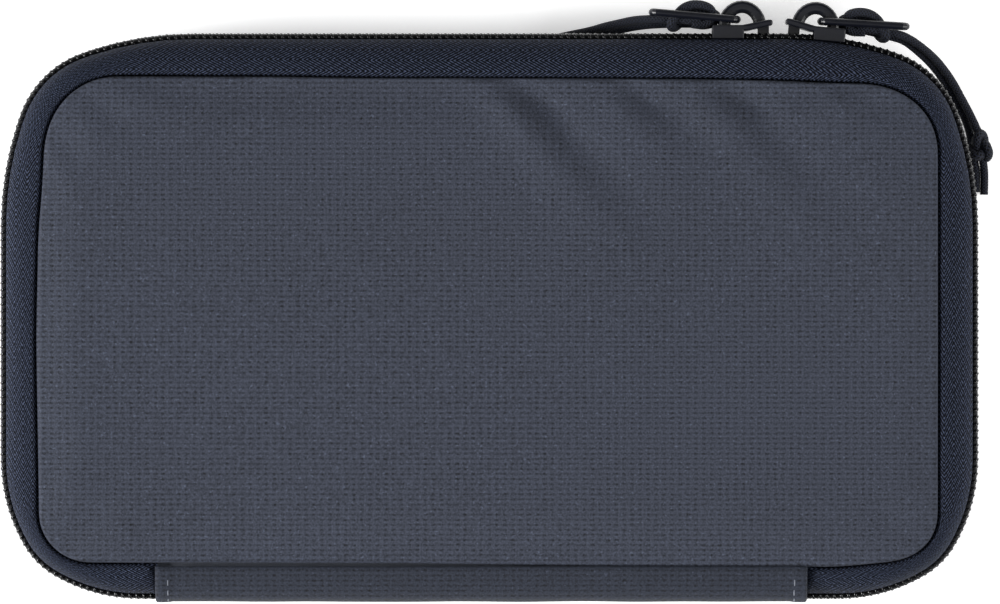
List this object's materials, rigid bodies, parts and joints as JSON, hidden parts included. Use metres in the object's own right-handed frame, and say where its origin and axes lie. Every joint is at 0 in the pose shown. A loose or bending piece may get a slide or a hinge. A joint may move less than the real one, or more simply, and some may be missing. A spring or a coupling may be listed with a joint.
{
  "type": "cable organizer pouch",
  "caption": "Padded clamshell pouch for cables, closed by a coil zipper round its edge, with ladder ring pulls on knotted cords and a fabric spine.",
  "frame": {"origin": "centre of the back panel's flat resting face", "axes": "+X along the spine towards the right slider, +Y from the spine to the zipper's long side, +Z from the back panel to the front panel"},
  "size_m": [0.2444, 0.147, 0.028],
  "materials": {
    "shell_fabric": "slate ripstop weave, matte",
    "zipper_tape": "dark herringbone woven tape",
    "zipper_coil": "black nylon coil with a slight gloss",
    "lining_fabric": "smooth plain-weave lining",
    "padding": "grey foam padding inside the panels",
    "painted_slider": "dark blue-grey paint, satin",
    "pull_cord": "braided polyester cord",
    "pocket_mesh": "knitted mesh",
    "elastic": "ribbed woven elastic"
  },
  "bodies": {
    "back_shell": {"back_panel": "shell_fabric", "back_foam": "padding", "back_lining": "lining_fabric", "back_binding": "zipper_tape", "back_zip_tape": "zipper_tape", "back_coil": "zipper_coil", "back_spine_tab": "shell_fabric", "elastic_upper_1": "elastic", "elastic_upper_2": "elastic", "elastic_upper_3": "elastic", "elastic_upper_4": "elastic", "elastic_upper_5": "elastic", "elastic_lower_1": "elastic", "elastic_lower_2": "elastic", "elastic_lower_3": "elastic", "elastic_lower_4": "elastic"},
    "spine": {"spine_panel": "shell_fabric", "spine_stiffener": "padding", "spine_lining": "lining_fabric"},
    "front_shell": {"front_panel": "shell_fabric", "front_foam": "padding", "front_lining": "lining_fabric", "front_binding": "zipper_tape", "front_zip_tape": "zipper_tape", "front_coil": "zipper_coil", "front_spine_tab": "shell_fabric", "mesh_pocket": "pocket_mesh", "mesh_pocket_hem": "elastic"},
    "slider_left_body": {"slider_left": "painted_slider"},
    "slider_right_body": {"slider_right": "painted_slider"},
    "pull_left_body": {"pull_left": "painted_slider", "cord_left_a": "pull_cord", "cord_left_b": "pull_cord", "knot_left": "pull_cord"},
    "pull_right_body": {"pull_right": "painted_slider", "cord_right_a": "pull_cord", "cord_right_b": "pull_cord", "knot_right": "pull_cord"}
  },
  "joints": [
    {"name": "spine_fold", "type": "hinge", "parent": "back_shell", "child": "spine", "pos_m": [-0.002, -0.0695, 0.007], "axis": [1, 0, 0], "range_deg": [0, 90]},
    {"name": "front_fold", "type": "hinge", "parent": "spine", "child": "front_shell", "pos_m": [-0.002, -0.0695, 0.021], "axis": [1, 0, 0], "range_deg": [0, 90]},
    {"name": "left_slider_run", "type": "slide", "parent": "back_shell", "child": "slider_left_body", "axis": [1, 0, 0], "range_m": [-0.128, 0]},
    {"name": "right_slider_run", "type": "hinge", "parent": "back_shell", "child": "slider_right_body", "pos_m": [0.07287, -0.0105, 0.014], "axis": [0, 0, -1], "range_deg": [0, 9.5]},
    {"name": "left_pull_swing", "type": "hinge", "parent": "slider_left_body", "child": "pull_left_body", "pos_m": [0.0607, 0.0728, 0.014], "axis": [0, 0, -1], "range_deg": [0, 100]},
    {"name": "right_pull_swing", "type": "hinge", "parent": "slider_right_body", "child": "pull_right_body", "pos_m": [0.08143, 0.07237, 0.014], "axis": [0, 0, 1], "range_deg": [0, 100]}
  ],
  "couplings": [
    {"joint": "spine_fold", "follows": "front_fold", "ratio": 1}
  ]
}
